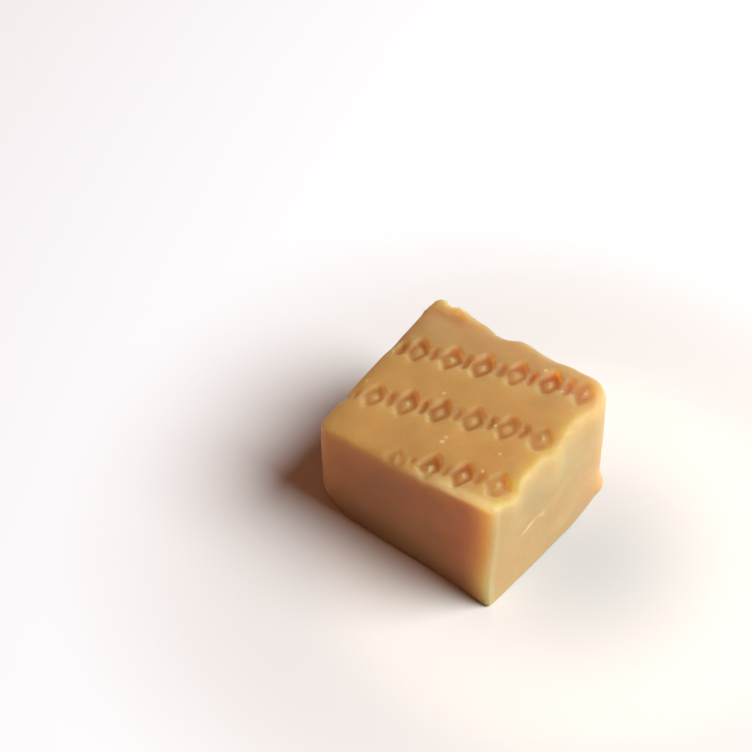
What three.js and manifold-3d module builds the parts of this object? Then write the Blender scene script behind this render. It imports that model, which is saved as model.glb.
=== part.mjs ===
// One cut piece of soft fudge, in millimetres, standing on the XY plane with +Z up.
// Left and right are -X and +X, front and back are -Y and +Y.
// It was cut from a slab that a patterned roller had pressed. So it is a leaning, uneven block whose four
// corners differ in height and roundness, and rows of small pressed marks cross its top at a slant.
import * as THREE from "three";
import { mergeVertices } from "three/addons/utils/BufferGeometryUtils.js";
import Module from "manifold-3d";

// The block at its foot
const LENGTH = 25.5; // along X
const WIDTH = 22.3; // along Y
const FOOT_RADIUS = 0.5; // of the bottom edge
const SUNK = 0.25; // how much of that edge lies below the face the block rests on, and is cut away
const CROWN = 0.25; // how far the middle of the top stands proud
const BOW = 0.3; // how far the middle of each side stands proud

// Its upright corners: the height there, how far the top stands out from the foot in X and Y, and the
// radii of the upright edge at the foot and at the top, and of the rim between the corner's sides and the top
const CORNERS = {
  leftFront: { height: 12.6, leanX: 0, leanY: 0.1, footEdge: 2.6, topEdge: 1.6, rim: 0.8 },
  rightFront: { height: 16.4, leanX: 0, leanY: 0.1, footEdge: 0.35, topEdge: 0.6, rim: 0.7 },
  rightBack: { height: 18.1, leanX: 0.1, leanY: -0.1, footEdge: 4, topEdge: 3.2, rim: 1.7 },
  leftBack: { height: 14.9, leanX: -0.5, leanY: 0.2, footEdge: 2, topEdge: 1.7, rim: 1 },
};

// Bulges of the sides near a corner, about a middle height: squeezed out by outX and outY, or worn in
// where those are negative. The first is the toe at the right back foot.
const BULGES = [
  { cornerX: 1, cornerY: 1, outX: 1.4, outY: 0.7, middle: 1.9, halfHeight: 2, reach: 3.4 },
  { cornerX: 1, cornerY: 1, outX: -0.45, outY: 0, middle: 0, halfHeight: 2, reach: 9 },
  { cornerX: 1, cornerY: -1, outX: 0.1, outY: 0.1, middle: 0, halfHeight: 3, reach: 6 },
  { cornerX: 1, cornerY: -1, outX: -0.3, outY: 0.5, middle: 4, halfHeight: 8, reach: 6 },
  { cornerX: -1, cornerY: -1, outX: -0.35, outY: -0.85, middle: 0, halfHeight: 2.7, reach: 5.5 },
];

// The lumps and sags of the back rim and the left rim, each with its middle along that rim
const BACK_WAVES = [
  { middle: -9.9, halfWidth: 1.1, rise: -0.7 },
  { middle: -2.8, halfWidth: 2.3, rise: -1.05 },
  { middle: 0.4, halfWidth: 1.7, rise: 0.4 },
  { middle: 4.6, halfWidth: 2.6, rise: -0.4 },
];
const LEFT_WAVES = [{ middle: -6, halfWidth: 0.8, rise: -0.5 }];
const WAVE_WIDTH = 1.6; // how far in from the rim they reach

// The lip that the knife tore up along the left back corner, with a crease behind it
const LIP = { height: 0.8, width: 1.5, endX: -5.4, taper: 3 };
const CREASE = { depth: 0.15, fromRim: 2.2, halfWidth: 0.8 };

// The pressed rows
const ROW_ANGLE = THREE.MathUtils.degToRad(12.5); // from +X towards +Y
const ROW_PITCH = 7.95; // from row to row along Y
const FIRST_ROW_Y = -10.05; // of the front row's middle, where it crosses X = 0
const ROW_BED = { halfWidth: 1.9, depth: 0.22 }; // the shallow bed that the roller left along each row
// The roller ran off the right side and pushed each row's end, at y there, down and out, front row first
const ROW_ENDS = [
  { y: -7.9, down: 0.9, out: 0.4 },
  { y: -0.1, down: 0.6, out: 0.4 },
  { y: 7, down: 0.4, out: 0.4 },
];
const ROW_END = { halfWidth: 2.1, length: 3.2, fadeDown: 7, fadeOut: 10 };

// The marks in the rows: diamond-shaped rings and upright ovals by turns
const LAST_MARK = 2.5; // from the right side to the middle of each row's last mark, which is a ring
const MARK_PITCH = 2.05; // from a ring to the oval beside it
const RING = { halfWidth: 0.95, halfHeight: 1.25, radius: 0.62, depth: 0.5, sectionSides: 6, corners: 4 };
const OVAL = { radius: 0.6, halfHeight: 1.25, depth: 0.48, widthSegments: 8, heightSegments: 6 };
const MARK_JITTER = 0.15; // how far a mark may lie off its place
const MARK_TURN = THREE.MathUtils.degToRad(5); // how far it may be turned
// How near to the front and back sides no mark is made, and how far in one has its full depth
const MARK_MARGIN = { none: 0.1, full: 0.7 };
// Marks fainter than this share of the full depth are left out, and the depths vary by the other share
const MARK_STRENGTH = { faintest: 0.45, uneven: 0.4 };
const SEEDS_PER_ROW = 100;
const SEED_GAP = 30; // between the seeds of a mark's place, strength and turn

// The slab cut away below the base
const CUT_DEPTH = 10;
const RAY_HEIGHT = 50; // above every point of the top

// The grid of the skin
const SEGMENTS = { x: 34, y: 30, z: 16 };
const CROWDING = 0.6; // 0 spaces the grid lines across the top evenly, 1 crowds them at the rims
const MOVABLE = 5; // how far in from the sides the roundings may shift the grid

const halfLength = LENGTH / 2;
const halfWidth = WIDTH / 2;
const { clamp, lerp, smoothstep } = THREE.MathUtils;

// 1 at zero, falling smoothly to 0 at one and beyond, on both sides.
function bump(distance) {
  return clamp(1 - distance * distance, 0, 1) ** 2;
}

// A corner property at u, v, which run from -1 to 1 across the block.
function atCorners(property, u, v) {
  const front = lerp(CORNERS.leftFront[property], CORNERS.rightFront[property], (u + 1) / 2);
  const back = lerp(CORNERS.leftBack[property], CORNERS.rightBack[property], (u + 1) / 2);
  return lerp(front, back, (v + 1) / 2);
}

// How far a point in plan is in from the nearest side.
function insetOf(x, y) {
  return Math.min(halfLength - Math.abs(x), halfWidth - Math.abs(y));
}

// Two distances from the two faces that meet at an edge, moved on to the round of that edge.
function roundEdge(inset, gap, radius) {
  if (inset >= radius || gap >= radius) return [inset, gap];
  const scale = 1 / Math.hypot(1 - inset / radius, 1 - gap / radius);
  return [radius - (radius - inset) * scale, radius - (radius - gap) * scale];
}

// A point in plan, moved from one inset to another with all its ring round the block's middle.
function moveRing(x, y, from, to) {
  const scale = (MOVABLE - to) / (MOVABLE - from);
  const move = (value, half) => {
    const beyond = Math.abs(value) - (half - MOVABLE);
    return beyond > 0 ? Math.sign(value) * (half - MOVABLE + beyond * scale) : value;
  };
  return from < MOVABLE ? [move(x, halfLength), move(y, halfWidth)] : [x, y];
}

// A point in plan, with the square corner it is near turned into a round one.
function roundUpright(x, y, radius) {
  const beyondX = Math.abs(x) - (halfLength - radius);
  const beyondY = Math.abs(y) - (halfWidth - radius);
  if (beyondX <= 0 || beyondY <= 0) return [x, y];
  const scale = Math.max(beyondX, beyondY) / Math.hypot(beyondX, beyondY);
  return [
    Math.sign(x) * (halfLength - radius + beyondX * scale),
    Math.sign(y) * (halfWidth - radius + beyondY * scale),
  ];
}

// The middle of a row where it crosses x. Rows are counted from the front.
function rowMiddle(row, x) {
  return FIRST_ROW_Y + row * ROW_PITCH + x * Math.tan(ROW_ANGLE);
}

// 0 over most of the block, rising to 1 at the right side, where the rows end.
function nearRowEnds(x) {
  return smoothstep(x, halfLength - ROW_END.length, halfLength);
}

// How much lower the top lies at x, y for the beds of the rows and their pressed-down ends.
function rowDip(x, y) {
  return ROW_ENDS.reduce((sum, end, row) => {
    const fromMiddle = (y - rowMiddle(row, x)) * Math.cos(ROW_ANGLE);
    const bed = ROW_BED.depth * bump(fromMiddle / ROW_BED.halfWidth);
    const fromEnd = y - end.y - (x - halfLength) * Math.tan(ROW_ANGLE);
    return sum + bed + end.down * nearRowEnds(x) * bump(fromEnd / ROW_END.halfWidth);
  }, 0);
}

// How far the right side is pushed out at y by the ends of the rows.
function rowSpread(y) {
  return ROW_ENDS.reduce((sum, end) => sum + end.out * bump((y - end.y) / ROW_END.halfWidth), 0);
}

// The height of a rim's waves at a place along it.
function waveHeight(waves, along) {
  return waves.reduce((sum, wave) => sum + wave.rise * bump((along - wave.middle) / wave.halfWidth), 0);
}

// How much higher the rim stands at x, y for its waves and the torn lip.
function rimRise(x, y) {
  const fromBack = halfWidth - y;
  const fromLeft = halfLength + x;
  const waves =
    waveHeight(BACK_WAVES, x) * bump(fromBack / WAVE_WIDTH) +
    waveHeight(LEFT_WAVES, y) * bump(fromLeft / WAVE_WIDTH);
  const fromLip = Math.min(fromBack, Math.max(fromLeft, 0) + LIP.width);
  const along = 1 - smoothstep(x, LIP.endX - LIP.taper, LIP.endX);
  const lip = LIP.height * bump(fromLip / LIP.width);
  const crease = CREASE.depth * bump((fromLip - CREASE.fromRim) / CREASE.halfWidth);
  return waves + along * (lip - crease);
}

// How far the bulges of the sides shift a point in X and Y.
function bulgeShift(x, y, z) {
  let shiftX = 0;
  let shiftY = 0;
  for (const bulge of BULGES) {
    const away = Math.hypot(bulge.cornerX * halfLength - x, bulge.cornerY * halfWidth - y);
    const share = bump(away / bulge.reach) * bump((z - bulge.middle) / bulge.halfHeight);
    shiftX += bulge.cornerX * bulge.outX * share;
    shiftY += bulge.cornerY * bulge.outY * share;
  }
  return [shiftX, shiftY];
}

// A point of the block's skin from its place on a cube that runs from -1 to 1 each way.
function skinPoint(u, v, w) {
  let x = u * halfLength;
  let y = v * halfWidth;
  const height = atCorners("height", u, v) + CROWN * (1 - u * u) * (1 - v * v);
  const inset = insetOf(x, y);
  const [topInset, gap] = roundEdge(inset, ((1 - w) / 2) * (height + SUNK), atCorners("rim", u, v));
  const [footInset, rise] = roundEdge(topInset, height + SUNK - gap, FOOT_RADIUS);
  [x, y] = moveRing(x, y, inset, footInset);
  const edge = lerp(atCorners("footEdge", u, v), atCorners("topEdge", u, v), (w + 1) / 2);
  [x, y] = roundUpright(x, y, edge);
  const z = rise - SUNK;

  const share = clamp(z / height, 0, 1);
  const middle = bump(2 * share - 1);
  const nearTop = bump((height - z) / ROW_END.fadeDown);
  const [bulgeX, bulgeY] = bulgeShift(x, y, z);
  const bowX = BOW * u * (1 - v * v) * middle;
  const bowY = BOW * v * (1 - u * u) * middle;
  const rowOut = rowSpread(y) * nearRowEnds(x) * bump((height - z) / ROW_END.fadeOut);
  return [
    x + atCorners("leanX", u, v) * share + bowX + bulgeX + rowOut,
    y + atCorners("leanY", u, v) * share + bowY + bulgeY,
    z + (rimRise(x, y) - rowDip(x, y)) * nearTop,
  ];
}

// A grid coordinate from -1 to 1, drawn towards the ends.
function crowded(t, crowding) {
  return lerp(t, Math.sin((t * Math.PI) / 2), crowding);
}

// The block before its base is cut flat and its marks are pressed in.
function blockGeometry() {
  const box = new THREE.BoxGeometry(2, 2, 2, SEGMENTS.x, SEGMENTS.y, SEGMENTS.z);
  const place = box.getAttribute("position");
  for (let i = 0; i < place.count; i++) {
    const u = crowded(place.getX(i), CROWDING);
    const v = crowded(place.getY(i), CROWDING);
    const w = crowded(place.getZ(i), 1);
    place.setXYZ(i, ...skinPoint(u, v, w));
  }
  return box;
}

// A value from 0 to 1 that looks random but is the same each time.
function scatter(seed) {
  const value = Math.sin(seed * 127.1 + 31.7) * 43758.5453;
  return value - Math.floor(value);
}

// One diamond-shaped ring about the origin, in the XY plane.
function ringGeometry() {
  const ring = new THREE.TorusGeometry(1, RING.radius / RING.halfWidth, RING.sectionSides, RING.corners);
  return ring.scale(RING.halfWidth, RING.halfHeight, RING.halfWidth);
}

// One upright oval about the origin.
function ovalGeometry() {
  const oval = new THREE.SphereGeometry(OVAL.radius, OVAL.widthSegments, OVAL.heightSegments);
  return oval.scale(1, OVAL.halfHeight / OVAL.radius, 1);
}

// How strongly the roller pressed a mark at x, y: 0 at the rim, where it leaves no room for one.
function strengthAt(x, y, seed) {
  if (insetOf(x, y) < MARK_MARGIN.none) return 0;
  const even = 1 - MARK_STRENGTH.uneven * scatter(seed);
  return even * smoothstep(halfWidth - Math.abs(y), MARK_MARGIN.none, MARK_MARGIN.full);
}

// A mark's shape, laid square on the block's top at x, y and turned about its middle.
function markGeometry(top, x, y, isRing, strength, angle) {
  const down = new THREE.Vector3(0, 0, -1);
  const [hit] = new THREE.Raycaster(new THREE.Vector3(x, y, RAY_HEIGHT), down).intersectObject(top);
  const { radius, depth } = isRing ? RING : OVAL;
  const up = new THREE.Vector3(0, 0, 1);
  const turn = new THREE.Quaternion().setFromUnitVectors(up, hit.face.normal);
  turn.multiply(new THREE.Quaternion().setFromAxisAngle(up, angle));
  const centre = hit.point.addScaledVector(hit.face.normal, radius - strength * depth);
  const shape = isRing ? ringGeometry() : ovalGeometry();
  return shape.applyMatrix4(new THREE.Matrix4().compose(centre, turn, new THREE.Vector3(1, 1, 1)));
}

// The marks of all the rows.
function markGeometries(block) {
  const top = new THREE.Mesh(block);
  const made = [];
  const steps = Math.ceil(LENGTH / MARK_PITCH);
  for (let row = 0; row < ROW_ENDS.length; row++) {
    for (let step = 0; step < steps; step++) {
      const seed = row * SEEDS_PER_ROW + step;
      const fromLast = step * MARK_PITCH + MARK_JITTER * (2 * scatter(seed) - 1);
      const x = halfLength - LAST_MARK - fromLast * Math.cos(ROW_ANGLE);
      const y = rowMiddle(row, x);
      const strength = strengthAt(x, y, seed + SEED_GAP);
      const angle = ROW_ANGLE + MARK_TURN * (2 * scatter(seed + 2 * SEED_GAP) - 1);
      const isRing = step % 2 === 0;
      if (strength > MARK_STRENGTH.faintest) made.push(markGeometry(top, x, y, isRing, strength, angle));
    }
  }
  return made;
}

const wasm = await Module();
wasm.setup();

// A closed three.js geometry as a solid.
function solid(geometry) {
  const bare = geometry.clone();
  bare.deleteAttribute("normal");
  bare.deleteAttribute("uv");
  const merged = mergeVertices(bare);
  const mesh = new wasm.Mesh({
    numProp: 3,
    vertProperties: new Float32Array(merged.getAttribute("position").array),
    triVerts: new Uint32Array(merged.index.array),
  });
  return new wasm.Manifold(mesh);
}

// A solid as a three.js geometry.
function geometryOf(made) {
  const mesh = made.getMesh();
  const geometry = new THREE.BufferGeometry();
  geometry.setAttribute("position", new THREE.BufferAttribute(new Float32Array(mesh.vertProperties), 3));
  geometry.setIndex(new THREE.BufferAttribute(new Uint32Array(mesh.triVerts), 1));
  return geometry;
}

// The block with its base cut flat and its marks pressed in, and its foot centred on the origin.
function fudgeGeometry() {
  const block = blockGeometry();
  const below = new THREE.BoxGeometry(2 * LENGTH, 2 * WIDTH, CUT_DEPTH).translate(0, 0, -CUT_DEPTH / 2);
  const cutters = [below, ...markGeometries(block)];
  const piece = cutters.reduce((rest, cutter) => rest.subtract(solid(cutter)), solid(block));
  const geometry = geometryOf(piece);
  geometry.computeBoundingBox();
  geometry.computeVertexNormals();
  const middle = geometry.boundingBox.getCenter(new THREE.Vector3());
  return geometry.translate(-middle.x, -middle.y, -geometry.boundingBox.min.z);
}

const fudge = new THREE.Mesh(
  fudgeGeometry(),
  new THREE.MeshStandardMaterial({ color: "#c69257", roughness: 0.45, metalness: 0 }),
);
fudge.name = "fudge";

const part = new THREE.Group();
part.add(fudge);

export default part;
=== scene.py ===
"""One cut piece of soft fudge on a pale floor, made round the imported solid. Lengths are in metres.

The solid gives the block, its rows of pressed marks and its place. This script makes its fine surface: it
melts the facets, adds what the roller and the knife left, and gives it the look of waxy, see-through fudge.
"""

import math

import bmesh
import bpy
import numpy as np
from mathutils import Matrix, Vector, noise


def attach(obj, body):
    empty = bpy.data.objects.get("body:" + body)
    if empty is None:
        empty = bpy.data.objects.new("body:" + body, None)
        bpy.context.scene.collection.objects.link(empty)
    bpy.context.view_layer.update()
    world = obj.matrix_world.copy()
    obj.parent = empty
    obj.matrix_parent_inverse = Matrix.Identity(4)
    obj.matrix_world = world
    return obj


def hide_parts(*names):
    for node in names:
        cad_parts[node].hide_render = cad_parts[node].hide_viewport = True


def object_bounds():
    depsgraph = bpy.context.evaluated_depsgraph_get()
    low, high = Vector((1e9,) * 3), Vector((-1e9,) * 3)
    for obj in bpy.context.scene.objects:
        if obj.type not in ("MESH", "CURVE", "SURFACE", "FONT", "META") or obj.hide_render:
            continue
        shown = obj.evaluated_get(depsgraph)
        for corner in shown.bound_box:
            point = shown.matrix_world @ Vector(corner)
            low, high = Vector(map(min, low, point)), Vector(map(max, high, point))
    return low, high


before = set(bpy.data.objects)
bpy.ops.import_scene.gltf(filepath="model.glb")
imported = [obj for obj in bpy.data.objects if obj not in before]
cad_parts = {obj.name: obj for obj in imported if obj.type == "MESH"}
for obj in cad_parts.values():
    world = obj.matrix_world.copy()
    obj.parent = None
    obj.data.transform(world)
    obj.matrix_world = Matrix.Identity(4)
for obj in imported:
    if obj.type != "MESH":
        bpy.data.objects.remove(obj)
CAD_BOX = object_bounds()

MM = 0.001
NODE = "fudge"

# The camera looks at a point of the floor that lies behind the piece and to its left
CAMERA_AZIMUTH = 38.9  # degrees, from -Y towards +X
CAMERA_ELEVATION = 47
CAMERA_DISTANCE = 372.24 * MM
CAMERA_LENS = 150  # millimetres, on a 36 mm sensor
AIM = Vector((-19.37 * MM, 8.26 * MM, 0))

# The light: one large soft lamp in a dim, warm surrounding that is a little less red overhead
KEY_DIRECTION = Vector((0.61, 0.30, 0.74))
KEY_DISTANCE = 0.6
KEY_SIZE = 0.46
KEY_POWER = 6.9
KEY_COLOUR = (0.945, 0.985, 1.01)
OVERHEAD = Vector((0.35, 0.2, 0.9))
OVERHEAD_COLOUR = (0.20, 0.085, 0.045)
DIM_COLOUR = (0.23, 0.085, 0.04)
DIM_TO_OVERHEAD = (0.0, 1.0)  # cosines of the angle from overhead
FLOOR_SIZE = 3
# The floor's colour is a painted shadow: darkest round its middle, fading in rings further out
FLOOR_MIDDLE = (14.5 * MM, 1 * MM, 0)  # where the floor's painted shadow is darkest, beside the right side
FLOOR_SHADOW_COLOUR = (0.465, 0.478, 0.475)
FLOOR_ROUGHNESS = 0.9
FLOOR_SHINE = 0.1
# The floor's colours further out, each with how far from there it begins to show and where it is full
FLOOR_RINGS = (
    ((0.73, 0.705, 0.66), (0 * MM, 22 * MM)),
    ((0.66, 0.65, 0.63), (24 * MM, 32 * MM)),
    ((0.80, 0.82, 0.84), (34 * MM, 62 * MM)),
)

# The fudge's colours
SKIN_COLOUR = (0.475, 0.276, 0.090)  # of the pressed top
# Painted shade tones down the light that glows through the top's rims and its back edge
RIGHT_RIM_SHADE_COLOUR = (0.39, 0.285, 0.094)  # painted shade on the top towards the right side
BACK_RIM_SHADE_COLOUR = (0.375, 0.268, 0.115)  # painted shade on the top towards the back side
BACK_EDGE_SHADE_COLOUR = (0.31, 0.235, 0.11)  # deeper painted shade along the top's back edge
BED_COLOUR = (0.52, 0.305, 0.11)  # of the beds of the rows
BED_TINT = 0.5  # how much of that colour the beds have
MARK_TONE_AND_SHADE_COLOUR = (0.385, 0.162, 0.044)  # the marks' tone, and painted shade in their hollows
PAINTED_HIGHLIGHT_COLOUR = (0.62, 0.44, 0.22)  # painted highlights on the pimples and the streaks
BROW_HIGHLIGHT_COLOUR = (0.605, 0.46, 0.215)  # painted highlight on the full rim between top and front
CUT_COLOUR = (0.405, 0.301, 0.134)  # of the right side and the back side
FOOT_LIGHT_COLOUR = (0.50, 0.30, 0.126)  # painted light at their foot, redder towards the floor
EDGE_HIGHLIGHT_COLOUR = (0.49, 0.355, 0.165)  # painted highlight on the right side's edge by the front side
# The front side and the left side get a darker, browner copy of the cut sides' colour: painted shade
FRONT_SHADE_COLOUR = (0.328, 0.164, 0.061)  # painted shade of the front side and the left side
FRONT_FOOT_LIGHT_COLOUR = (0.40, 0.170, 0.068)  # that painted shade at their foot, lifted by painted light
FRONT_RIM_LIGHT_COLOUR = (0.52, 0.330, 0.105)  # painted light glowing on the front side's rims

# Where those colours show
RIM_REACH = (0.5 * MM, 6 * MM)  # from the right side, where that painted shade is full and where it ends
BACK_RIM_REACH = (0.5 * MM, 11 * MM)  # the same from the back side
# From the back side, where the back edge's deeper painted shade is full and where it ends
BACK_EDGE_SHADE_REACH = (1 * MM, 3.2 * MM)
FRONT_RIM_ROUNDS = 3  # of smoothing, that let the painted light of the front side's rims fade outwards
FRONT_ROUNDS = 26  # the same for the painted shade of the front side and the left side
FRONT_RIM_FADE = (0.3 * MM, 2.2 * MM)  # from the right side, where that painted light begins and is full
FRONT_FADE = (-0.5 * MM, 5 * MM)  # the same for the front and left sides' painted shade
EDGE_FADE = (0.5 * MM, 1.8 * MM)  # from the front, where the edge's painted highlight begins to fade and ends
FOOT_HEIGHT = 14 * MM  # above the floor, where the painted light at the foot ends
# The marks' colour weakens to a least share in places, and to the other share beside the right side
MARK_FADE = {"size": 2.5 * MM, "least": 0.7, "at_rim": 0.4}
MARK_REACH = (2 * MM, 8 * MM)  # from the right side, where it and the beds' colour are weakest and full
MARK_ROUNDS = 2  # of smoothing, of the edge of the marks' colour

# The waxy surface
FUDGE_IOR = 1.45
SCATTER_RADIUS = (1.0, 0.5, 0.25)
SCATTER_SCALE = 15 * MM
FRONT_SCATTER_SCALE = 32 * MM  # light from the right side glows further through the front side's rims
FOOT_SCATTER = {"share": 0.15, "height": 3 * MM}  # the share of those scales at the floor, up to this height
SHINE = 0.25  # of the surface's reflection, where 0.5 is the usual one
MOTTLE = {"size": 5 * MM, "darkest": 0.92, "lightest": 1.07}
SPECKLE = {"size": 0.35 * MM, "darkest": 0.97, "lightest": 1.03}
ROUGHNESS = {"size": 2 * MM, "least": 0.40, "most": 0.50}
GRAIN = {"size": 0.3 * MM, "height": 0.01 * MM}
TEXTURE_RANGE = (0.3, 0.7)  # between which the noise texture's values mostly lie
NOISE_RANGE = (-0.4, 0.4)  # the same for the noise at a place

# How far a surface has to face a way, as a cosine, to begin to count as that side and to be wholly that side
TOP_FACING = (0.5, 0.8)
RIGHT_FACING = (0.8, 0.95)
FRONT_FACING = (0.6, 0.95)  # for the left side as well
BACK_RIM_FACING = (0.3, 0.6)  # both up and back
SCATTER_FACING = (0.3, 0.7)  # for the front side's own scatter scale

# The fine grid, and the rounds of smoothing that melt the solid's facets
VOXEL = 0.18 * MM
MELT_ROUNDS = 7
SOFT_ROUNDS = 14  # these make the marks softer, and as many again make those near the right side softer
CALM_ROUNDS = 45  # these take out the last traces of facets away from the marks
CALM_LIMIT = 0.03 * MM  # but move the surface no further than this
HOLLOW_ROUNDS = 250  # these fill the marks, to find how far below the surface they lie
HOLLOW = (0.02 * MM, 0.2 * MM)  # hollows this deep begin to count as marks, and are wholly marks

# The sunk beds of the rows, with a scalloped sill round the marks
BED_ROUNDS = 22  # of smoothing, that spread the marks to the width of their bed
BED_SHARE = (0.09, 0.17)  # of the spread marks, where the bed begins and where it has its full depth
BED_DEPTH = 0.12 * MM
SILL = {"share": 0.045, "spread": 0.035, "height": 0.03 * MM}

# The flap that the knife tore up at the back left corner: points of its edge, in millimetres from the left
# side and from the back side
FLAP_EDGE = ((0, 2.9), (1, 2.2), (2.2, 1.9), (3.5, 1.7), (4.6, 1.1), (5.6, 1.9), (7, 0.6))
FLAP_HEIGHT = 0.16 * MM
FLAP_SLOPE = 0.22 * MM  # how far the flap's edge takes to rise to half its height
FLAP_TURN = {"size": 0.9 * MM, "height": 0.3 * MM}  # how the edge wavers
# No hollow this near the back side counts as a mark, and a little less near away from the left side
FLAP_CLEARANCE = {"from_back": 4 * MM, "slant": 0.12, "fade": 0.3 * MM}

# Small torn bits on the back rim, with their places in millimetres from the left side
TORN_BITS = {"from_left": (1.9, 3.2, 3.7), "radius": 0.38 * MM, "height": 0.2 * MM}

# The streaks that the knife raised on the right side: the start and the end of each, in millimetres from the
# front side and above the floor, and its height
STREAKS = (((4.9, 8.1), (7.9, 9.15), 0.14), ((7.8, 8.95), (9.6, 8.5), 0.1))
STREAK_HALF_WIDTH = 0.42 * MM

# The brow: the fuller rim between the top and the front side, with a painted highlight along it
BROW_ROUNDS = 40  # of smoothing, that spread it from the rim's middle
BROW_ALONG = (-2 * MM, 8 * MM)  # from the middle of the piece towards the right, where it begins and is full
BROW_HEIGHT = 0.35 * MM

# Pimples of the top, and soft unevenness all over
PIMPLES = {"count": 18, "radius": (0.22 * MM, 0.36 * MM), "height": (0.06 * MM, 0.14 * MM)}
PIMPLE_SEED = 5
WARP = {"size": 1.7 * MM, "height": 0.2 * MM, "offsets": (30, 40)}  # sideways, so the marks are less regular
UNEVEN = {"size": 4.5 * MM, "height": 0.09 * MM}
RIPPLE = {"size": 1.3 * MM, "height": 0.012 * MM}


def smoothstep(low, high, value):
    share = np.clip((value - low) / (high - low), 0, 1)
    return share * share * (3 - 2 * share)


def bump(distance):
    """1 at zero, falling smoothly to 0 at one and beyond."""
    return np.clip(1 - distance * distance, 0, 1) ** 2


def places_of(mesh):
    flat = np.empty(len(mesh.vertices) * 3, np.float32)
    mesh.vertices.foreach_get("co", flat)
    return flat.reshape(-1, 3).astype(float)


def put_places(mesh, places):
    mesh.vertices.foreach_set("co", places.astype(np.float32).ravel())
    mesh.update()


def normals_of(mesh):
    flat = np.empty(len(mesh.vertices) * 3, np.float32)
    mesh.vertices.foreach_get("normal", flat)
    return flat.reshape(-1, 3).astype(float)


def edges_of(mesh):
    flat = np.empty(len(mesh.edges) * 2, np.int32)
    mesh.edges.foreach_get("vertices", flat)
    return flat.reshape(-1, 2)


def smoothed(values, edges, rounds, share=0.5):
    """Per-vertex values, drawn towards the mean of their neighbours, round after round."""
    count = len(values)
    one, other = np.r_[edges[:, 0], edges[:, 1]], np.r_[edges[:, 1], edges[:, 0]]
    neighbours = np.bincount(one, minlength=count)
    result = np.array(values, float).reshape(count, -1)
    for _ in range(rounds):
        for column in range(result.shape[1]):
            mean = np.bincount(one, result[other, column], count) / neighbours
            result[:, column] += share * (mean - result[:, column])
    return result.reshape(np.shape(values))


def drawn_towards(places, goal, limit):
    """Places moved to their goals, but none of them further than the limit."""
    move = goal - places
    length = np.maximum(np.linalg.norm(move, axis=1, keepdims=True), limit / 1000)
    return places + move * np.minimum(1, limit / length)


def noise_at(places, size, offset=0.0):
    """Soft noise between about -1 and 1 whose lumps have a size."""
    shift = Vector((offset, 0, 0))
    return np.array([noise.noise(Vector(place) + shift) for place in (places / size).tolist()])


def fine_copy(node, name):
    """A copy of a CAD node's mesh with an even, fine grid of faces."""
    joined = bmesh.new()
    joined.from_mesh(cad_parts[node].data)
    bmesh.ops.remove_doubles(joined, verts=joined.verts, dist=VOXEL / 1000)
    mesh = bpy.data.meshes.new(name)
    joined.to_mesh(mesh)
    joined.free()
    piece = bpy.data.objects.new(name, mesh)
    bpy.context.scene.collection.objects.link(piece)
    remesh = piece.modifiers.new("fine grid", "REMESH")
    remesh.mode = "VOXEL"
    remesh.voxel_size = VOXEL
    shown = piece.evaluated_get(bpy.context.evaluated_depsgraph_get())
    piece.data = bpy.data.meshes.new_from_object(shown)
    piece.modifiers.clear()
    piece.data.name = name
    piece.data.materials.clear()
    for face in piece.data.polygons:
        face.use_smooth = True
    return piece


def store(mesh, name, values):
    attribute = mesh.attributes.new(name, "FLOAT", "POINT")
    attribute.data.foreach_set("value", values.astype(np.float32))


def bed_relief(spread):
    """The rows' beds: sunk where the spread marks are strong, with a raised sill along their edge."""
    sunk = -BED_DEPTH * smoothstep(*BED_SHARE, spread)
    return sunk + SILL["height"] * bump((spread - SILL["share"]) / SILL["spread"])


def flap_relief(places):
    """The flap at the back left corner, raised between its wavering edge and the back side."""
    from_left = places[:, 0] - CAD_BOX[0][0]
    from_back = CAD_BOX[1][1] - places[:, 1]
    across, reach = np.array(FLAP_EDGE).T * MM
    flat = places * (1, 1, 0)
    edge = np.interp(from_left, across, reach) + FLAP_TURN["height"] * noise_at(flat, FLAP_TURN["size"])
    inside = smoothstep(-FLAP_SLOPE, FLAP_SLOPE, edge - from_back)
    return FLAP_HEIGHT * inside * (1 - smoothstep(across[-3], across[-1], from_left))


def torn_bits_relief(places, back_rim):
    """Small bits that stand up on the back rim."""
    from_left = places[:, 0] - CAD_BOX[0][0]
    total = np.zeros(len(places))
    for middle in TORN_BITS["from_left"]:
        total += TORN_BITS["height"] * bump((from_left - middle * MM) / TORN_BITS["radius"])
    return total * back_rim


def streak_relief(places):
    """The streaks on the right side, each along a straight line."""
    across = places[:, 1] - CAD_BOX[0][1]
    total = np.zeros(len(places))
    for start, end, height in STREAKS:
        first, way = np.array(start) * MM, (np.array(end) - start) * MM
        from_first = np.c_[across, places[:, 2]] - first
        share = from_first @ way / (way @ way)
        aside = from_first @ (-way[1], way[0]) / np.hypot(*way)
        total += height * MM * bump(aside / STREAK_HALF_WIDTH) * bump(2 * share - 1)
    return total


def pimple_relief(places):
    """Small round pimples strewn over the top: their heights, and the share of their painted highlight."""
    random = np.random.default_rng(PIMPLE_SEED)
    low, high = np.array(CAD_BOX[0]), np.array(CAD_BOX[1])
    total = np.zeros(len(places))
    for _ in range(PIMPLES["count"]):
        middle = random.uniform(low[:2], high[:2])
        radius = random.uniform(*PIMPLES["radius"])
        height = random.uniform(*PIMPLES["height"])
        away = np.hypot(places[:, 0] - middle[0], places[:, 1] - middle[1])
        total += height * bump(away / radius)
    return total, np.minimum(1, total / PIMPLES["height"][0])


def uneven_relief(places):
    """Soft swellings and fine ripples all over."""
    total = np.zeros(len(places))
    for number, kind in enumerate((UNEVEN, RIPPLE)):
        total += kind["height"] * noise_at(places, kind["size"], 10 * number)
    return total


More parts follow.
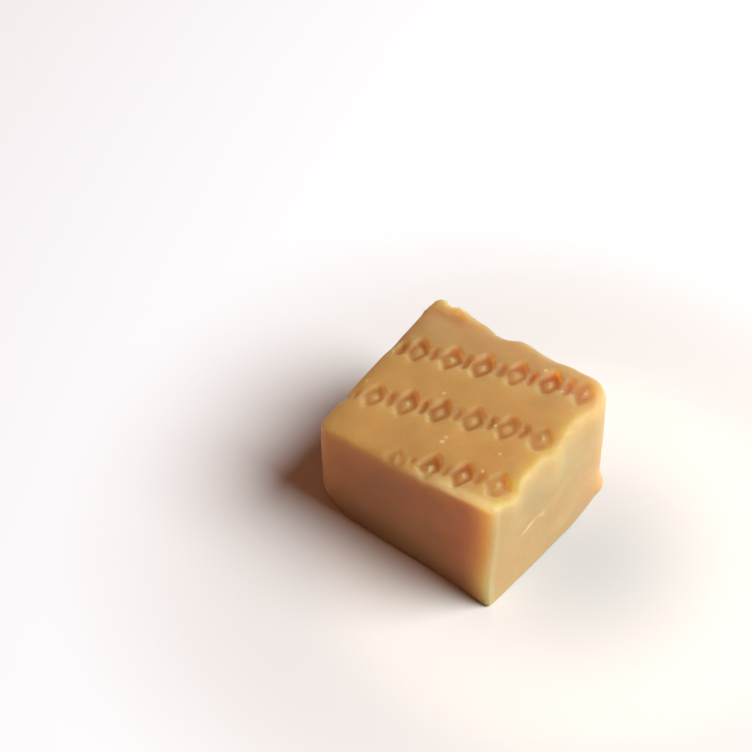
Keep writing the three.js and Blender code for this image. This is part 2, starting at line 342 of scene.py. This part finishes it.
def brow_share(sides, edges, places):
    """1 along the rim between the top and the front side where it is full, falling to 0 around it."""
    above = smoothed(sides["top"], edges, BROW_ROUNDS)
    below = smoothed(sides["front"], edges, BROW_ROUNDS)
    return 4 * above * below * smoothstep(*BROW_ALONG, places[:, 0])


def clear_of_flap(places):
    """0 about the flap at the back left corner, whose crease is no pressed mark, and 1 elsewhere."""
    from_left = places[:, 0] - CAD_BOX[0][0]
    from_back = CAD_BOX[1][1] - places[:, 1]
    away = from_back + FLAP_CLEARANCE["slant"] * from_left - FLAP_CLEARANCE["from_back"]
    return smoothstep(-FLAP_CLEARANCE["fade"], FLAP_CLEARANCE["fade"], away)


def warped(places, share):
    """Places shifted sideways by soft noise."""
    along, across = (noise_at(places, WARP["size"], offset) for offset in WARP["offsets"])
    shift = np.c_[along, across, np.zeros(len(places))]
    return places + WARP["height"] * share[:, None] * shift


def near(places, axis, reach):
    """1 beside the right side for axis 0, or beside the back side for axis 1, falling to 0 over a reach."""
    return 1 - smoothstep(*reach, CAD_BOX[1][axis] - places[:, axis])


def scatter_scale(front, height):
    """How far light goes under the surface: further on the front side, and less far at the foot."""
    scale = SCATTER_SCALE + (FRONT_SCATTER_SCALE - SCATTER_SCALE) * smoothstep(*SCATTER_FACING, front)
    above = smoothstep(0, FOOT_SCATTER["height"], height)
    return scale * (FOOT_SCATTER["share"] + (1 - FOOT_SCATTER["share"]) * above)


def melted_shapes(mesh, edges):
    """The grid with its facets melted, once calm and once with soft marks, and how deep its hollows are."""
    rough = places_of(mesh)
    filled = smoothed(rough, edges, HOLLOW_ROUNDS)
    depth = ((filled - rough) * normals_of(mesh)).sum(1)
    melted = smoothed(rough, edges, MELT_ROUNDS)
    calm = drawn_towards(melted, smoothed(melted, edges, CALM_ROUNDS), CALM_LIMIT)
    soft = smoothed(melted, edges, SOFT_ROUNDS)
    soft += near(calm, 0, RIM_REACH)[:, None] * (smoothed(soft, edges, SOFT_ROUNDS) - soft)
    return calm, soft, depth


def sides_of(facing):
    """How much each vertex belongs to a side or a rim, from the way it faces."""
    right, back, up = facing.T
    return {
        "top": smoothstep(*TOP_FACING, up),
        "right": smoothstep(*RIGHT_FACING, right),
        "front": smoothstep(*FRONT_FACING, -back),
        "front and left": smoothstep(*FRONT_FACING, np.hypot((-back).clip(0), right.clip(None, 0))),
        "back rim": smoothstep(*BACK_RIM_FACING, back) * smoothstep(*BACK_RIM_FACING, up),
    }


def fine_relief(places, sides, spread, pimples, brow):
    """How far the surface stands out from the melted shape."""
    on_top = sides["top"] * (bed_relief(spread) + flap_relief(places) + pimples)
    cuts = sides["right"] * streak_relief(places) + torn_bits_relief(places, sides["back rim"])
    return on_top + (cuts + uneven_relief(places)) + BROW_HEIGHT * brow


def mark_strength(places):
    """How much tone and painted shade the marks have: less in places, and less near the right side."""
    weaker = 1 - (1 - MARK_FADE["least"]) * smoothstep(*NOISE_RANGE, noise_at(places, MARK_FADE["size"]))
    return weaker * (1 - (1 - MARK_FADE["at_rim"]) * near(places, 0, MARK_REACH))


def highlight_share(places, sides, pimple_highlights, pressed):
    """How much painted highlight shows, on the pimples and the streaks."""
    streaks = sides["right"] * streak_relief(places) / STREAKS[0][2] / MM
    return sides["top"] * pimple_highlights * (1 - pressed) + streaks


def front_light_and_shade(places, sides, edges):
    """How much painted light the front side's rims have, and painted shade the front and left sides have."""
    from_right = CAD_BOX[1][0] - places[:, 0]
    rims = smoothed(sides["front"], edges, FRONT_RIM_ROUNDS) * smoothstep(*FRONT_RIM_FADE, from_right)
    whole = smoothed(sides["front and left"], edges, FRONT_ROUNDS) * smoothstep(*FRONT_FADE, from_right)
    return rims, whole


def make_fudge():
    piece = fine_copy(NODE, "fudge_piece")
    mesh = piece.data
    edges = edges_of(mesh)
    calm, soft, depth = melted_shapes(mesh, edges)
    put_places(mesh, calm)
    facing = smoothed(normals_of(mesh), edges, MELT_ROUNDS)
    sides = sides_of(facing)
    pressed = sides["top"] * smoothstep(*HOLLOW, depth) * clear_of_flap(calm)
    near_marks = smoothstep(0, BED_SHARE[1], smoothed(pressed, edges, MELT_ROUNDS))[:, None]
    places = warped(soft * near_marks + calm * (1 - near_marks), sides["top"])
    spread = smoothed(pressed, edges, BED_ROUNDS)
    pimples, pimple_highlights = pimple_relief(places)
    brow = brow_share(sides, edges, places)
    relief = fine_relief(places, sides, spread, pimples, brow)
    places += facing / np.linalg.norm(facing, axis=1, keepdims=True) * relief[:, None]
    places[:, 2] = np.where(calm[:, 2] < VOXEL, calm[:, 2], places[:, 2]).clip(0)
    put_places(mesh, places)
    front_rim_light, front_and_left_shade = front_light_and_shade(places, sides, edges)
    # The marks' own deeper tone, with painted shade in their hollows
    store(mesh, "pressed", smoothed(pressed, edges, MARK_ROUNDS) * mark_strength(places))
    store(mesh, "bed", sides["top"] * smoothstep(*BED_SHARE, spread) * (1 - near(places, 0, MARK_REACH)))
    store(mesh, "skin", sides["top"])
    # The brow's share also carries the painted highlight along it
    store(mesh, "brow", brow)
    # Painted shade on the top towards the right side
    store(mesh, "rim", near(places, 0, RIM_REACH))
    # Painted shade on the top towards the back side; the 'torn' share is deeper painted shade along the back
    # edge
    store(mesh, "back rim", near(places, 1, BACK_RIM_REACH))
    store(mesh, "torn", near(places, 1, BACK_EDGE_SHADE_REACH))
    # The 'pale' share is the painted highlight on the pimples and the streaks
    store(mesh, "pale", highlight_share(places, sides, pimple_highlights, pressed))
    # Painted light glowing on the front side's rims
    store(mesh, "front rim light", front_rim_light)
    # Painted shade on the front and left sides
    store(mesh, "front", front_and_left_shade)
    # Painted highlight on the right side's edge beside the front side
    store(mesh, "edge", sides["right"] * (1 - smoothstep(*EDGE_FADE, places[:, 1] - CAD_BOX[0][1])))
    store(mesh, "scatter", scatter_scale(-facing[:, 1], places[:, 2]))
    # Painted light at the foot of the sides, fading upwards
    store(mesh, "foot", 1 - smoothstep(0, FOOT_HEIGHT, places[:, 2]))
    mesh.materials.append(fudge_material())
    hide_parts(NODE)
    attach(piece, "root")


def attribute(tree, name):
    node = tree.nodes.new("ShaderNodeAttribute")
    node.attribute_name = name
    return node.outputs["Fac"]


def mixed(tree, factor, first, second):
    """A mix of two colours, each of them a fixed one or another node's."""
    node = tree.nodes.new("ShaderNodeMix")
    node.data_type = "RGBA"
    tree.links.new(factor, node.inputs["Factor"])
    for colour, socket in ((first, node.inputs["A"]), (second, node.inputs["B"])):
        if isinstance(colour, tuple):
            socket.default_value = (*colour, 1)
        else:
            tree.links.new(colour, socket)
    return node.outputs["Result"]


def noise_between(tree, size, least, most):
    """Noise in the object's own space, spread between two values."""
    place = tree.nodes.new("ShaderNodeTexCoord")
    texture = tree.nodes.new("ShaderNodeTexNoise")
    texture.inputs["Scale"].default_value = 1 / size
    spread = tree.nodes.new("ShaderNodeMapRange")
    spread.inputs["From Min"].default_value, spread.inputs["From Max"].default_value = TEXTURE_RANGE
    spread.inputs["To Min"].default_value, spread.inputs["To Max"].default_value = least, most
    tree.links.new(place.outputs["Object"], texture.inputs["Vector"])
    tree.links.new(texture.outputs["Fac"], spread.inputs["Value"])
    return spread.outputs["Result"]


def scaled(tree, colour, factor):
    node = tree.nodes.new("ShaderNodeVectorMath")
    node.operation = "SCALE"
    tree.links.new(colour, node.inputs["Vector"])
    tree.links.new(factor, node.inputs["Scale"])
    return node.outputs["Vector"]


def fudge_colour(tree):
    bed = tree.nodes.new("ShaderNodeMath")
    bed.operation = "MULTIPLY"
    tree.links.new(attribute(tree, "bed"), bed.inputs[0])
    bed.inputs[1].default_value = BED_TINT
    # The cut sides' colour, with painted light at their foot
    cut = mixed(tree, attribute(tree, "foot"), CUT_COLOUR, FOOT_LIGHT_COLOUR)
    # The front and left sides' painted shade, with painted light at its foot
    front = mixed(tree, attribute(tree, "foot"), FRONT_SHADE_COLOUR, FRONT_FOOT_LIGHT_COLOUR)
    # Painted highlight on the right side's edge beside the front side
    cut = mixed(tree, attribute(tree, "edge"), cut, EDGE_HIGHLIGHT_COLOUR)
    # Painted light glowing on the front side's rims
    colour = mixed(tree, attribute(tree, "front rim light"), cut, FRONT_RIM_LIGHT_COLOUR)
    # Painted shade on the front and left sides
    colour = mixed(tree, attribute(tree, "front"), colour, front)
    # Painted shade on the top towards the right side
    top_colour = mixed(tree, attribute(tree, "rim"), SKIN_COLOUR, RIGHT_RIM_SHADE_COLOUR)
    # Painted shade towards the back side, deeper along the back edge
    top_colour = mixed(tree, attribute(tree, "back rim"), top_colour, BACK_RIM_SHADE_COLOUR)
    top_colour = mixed(tree, attribute(tree, "torn"), top_colour, BACK_EDGE_SHADE_COLOUR)
    colour = mixed(tree, attribute(tree, "skin"), colour, top_colour)
    colour = mixed(tree, bed.outputs["Value"], colour, BED_COLOUR)
    # Painted highlight along the brow
    colour = mixed(tree, attribute(tree, "brow"), colour, BROW_HIGHLIGHT_COLOUR)
    # The marks' own deeper tone, with painted shade in their hollows
    colour = mixed(tree, attribute(tree, "pressed"), colour, MARK_TONE_AND_SHADE_COLOUR)
    # Painted highlights on the pimples and the streaks
    colour = mixed(tree, attribute(tree, "pale"), colour, PAINTED_HIGHLIGHT_COLOUR)
    for kind in (MOTTLE, SPECKLE):
        shade = noise_between(tree, kind["size"], kind["darkest"], kind["lightest"])
        colour = scaled(tree, colour, shade)
    return colour


def fudge_material():
    material = bpy.data.materials.new("fudge, waxy")
    material.use_nodes = True
    tree = material.node_tree
    shader = tree.nodes["Principled BSDF"]
    shader.inputs["Subsurface Weight"].default_value = 1
    shader.inputs["Subsurface Radius"].default_value = SCATTER_RADIUS
    tree.links.new(attribute(tree, "scatter"), shader.inputs["Subsurface Scale"])
    shader.inputs["IOR"].default_value = FUDGE_IOR
    shader.inputs["Specular IOR Level"].default_value = SHINE
    tree.links.new(fudge_colour(tree), shader.inputs["Base Color"])
    dullness = noise_between(tree, ROUGHNESS["size"], ROUGHNESS["least"], ROUGHNESS["most"])
    tree.links.new(dullness, shader.inputs["Roughness"])
    grain = tree.nodes.new("ShaderNodeBump")
    grain.inputs["Distance"].default_value = GRAIN["height"]
    tree.links.new(noise_between(tree, GRAIN["size"], 0, 1), grain.inputs["Height"])
    tree.links.new(grain.outputs["Normal"], shader.inputs["Normal"])
    return material


def floor_material():
    material = bpy.data.materials.new("pale floor")
    material.use_nodes = True
    tree = material.node_tree
    shader = tree.nodes["Principled BSDF"]
    # The floor's colour is a painted shadow, darkest at its middle beside the piece
    place = tree.nodes.new("ShaderNodeNewGeometry")
    away = tree.nodes.new("ShaderNodeVectorMath")
    away.operation = "DISTANCE"
    away.inputs[1].default_value = FLOOR_MIDDLE
    tree.links.new(place.outputs["Position"], away.inputs[0])
    colour = FLOOR_SHADOW_COLOUR
    for ring_colour, reach in FLOOR_RINGS:
        share = tree.nodes.new("ShaderNodeMapRange")
        share.interpolation_type = "SMOOTHSTEP"
        share.inputs["From Min"].default_value, share.inputs["From Max"].default_value = reach
        tree.links.new(away.outputs["Value"], share.inputs["Value"])
        colour = mixed(tree, share.outputs["Result"], colour, ring_colour)
    tree.links.new(colour, shader.inputs["Base Color"])
    shader.inputs["Roughness"].default_value = FLOOR_ROUGHNESS
    shader.inputs["Specular IOR Level"].default_value = FLOOR_SHINE
    return material


def make_floor():
    bpy.ops.mesh.primitive_plane_add(size=FLOOR_SIZE)
    floor = bpy.context.object
    floor.name = "floor"
    floor.data.materials.append(floor_material())


def make_light():
    lamp = bpy.data.lights.new("key", "AREA")
    lamp.shape = "DISK"
    lamp.size = KEY_SIZE
    lamp.energy = KEY_POWER
    lamp.color = KEY_COLOUR
    key = bpy.data.objects.new("key", lamp)
    bpy.context.scene.collection.objects.link(key)
    key.location = KEY_DIRECTION.normalized() * KEY_DISTANCE
    key.rotation_euler = KEY_DIRECTION.to_track_quat("Z", "Y").to_euler()


def make_surround():
    world = bpy.data.worlds.new("surround")
    world.use_nodes = True
    nodes, links = world.node_tree.nodes, world.node_tree.links
    direction = nodes.new("ShaderNodeTexCoord")
    cosine = nodes.new("ShaderNodeVectorMath")
    cosine.operation = "DOT_PRODUCT"
    cosine.inputs[1].default_value = OVERHEAD.normalized()
    share = nodes.new("ShaderNodeMapRange")
    share.interpolation_type = "SMOOTHSTEP"
    share.inputs["From Min"].default_value, share.inputs["From Max"].default_value = DIM_TO_OVERHEAD
    links.new(direction.outputs["Generated"], cosine.inputs[0])
    links.new(cosine.outputs["Value"], share.inputs["Value"])
    colour = mixed(world.node_tree, share.outputs["Result"], DIM_COLOUR, OVERHEAD_COLOUR)
    links.new(colour, nodes["Background"].inputs["Color"])
    bpy.context.scene.world = world


def make_camera():
    azimuth, elevation = math.radians(CAMERA_AZIMUTH), math.radians(CAMERA_ELEVATION)
    flat = math.cos(elevation)
    back = Vector((math.sin(azimuth) * flat, -math.cos(azimuth) * flat, math.sin(elevation)))
    lens = bpy.data.cameras.new("camera")
    lens.lens = CAMERA_LENS
    lens.clip_start = CAMERA_DISTANCE / 100
    camera = bpy.data.objects.new("camera", lens)
    bpy.context.scene.collection.objects.link(camera)
    camera.location = AIM + back * CAMERA_DISTANCE
    camera.rotation_euler = back.to_track_quat("Z", "Y").to_euler()
    bpy.context.scene.camera = camera


bpy.context.scene.view_settings.view_transform = "Standard"
make_camera()
make_light()
make_surround()
make_floor()
make_fudge()
